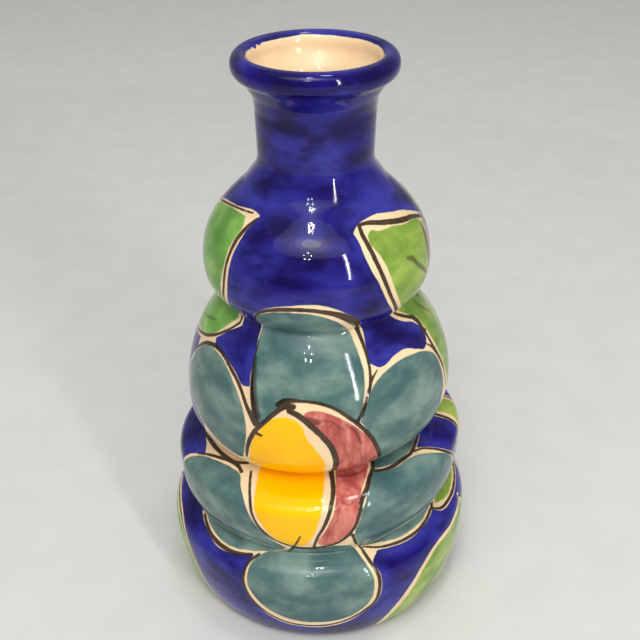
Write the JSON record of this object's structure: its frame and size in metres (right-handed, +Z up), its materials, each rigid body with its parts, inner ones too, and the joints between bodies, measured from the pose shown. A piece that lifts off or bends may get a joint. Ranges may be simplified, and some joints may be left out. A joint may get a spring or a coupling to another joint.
{
  "type": "ceramic vase",
  "caption": "Hand-painted tin-glazed earthenware vase with stacked rounded rings, a bulb shoulder, a short neck and a rolled rim; stands on a flat foot ring.",
  "frame": {"origin": "middle of the foot ring's underside, on the surface the vase stands on", "axes": "+Z up along the vase's axis to the mouth; -Y is the side with the painted flower; the rings' grooves climb towards +X"},
  "size_m": [0.14, 0.14, 0.254],
  "materials": {
    "clay": "matt, unglazed earthenware",
    "outer_glaze": "glossy cobalt blue with a hand-painted flower and leaves",
    "inner_glaze": "glossy cream"
  },
  "bodies": {
    "root": {"foot_ring": "clay", "floor_slab": "clay", "belly_ring": "clay", "third_ring": "clay", "second_ring": "clay", "shoulder_bulb": "clay", "neck": "clay", "rolled_rim": "clay", "outer_glaze": "outer_glaze", "inner_glaze": "inner_glaze"}
  },
  "joints": []
}
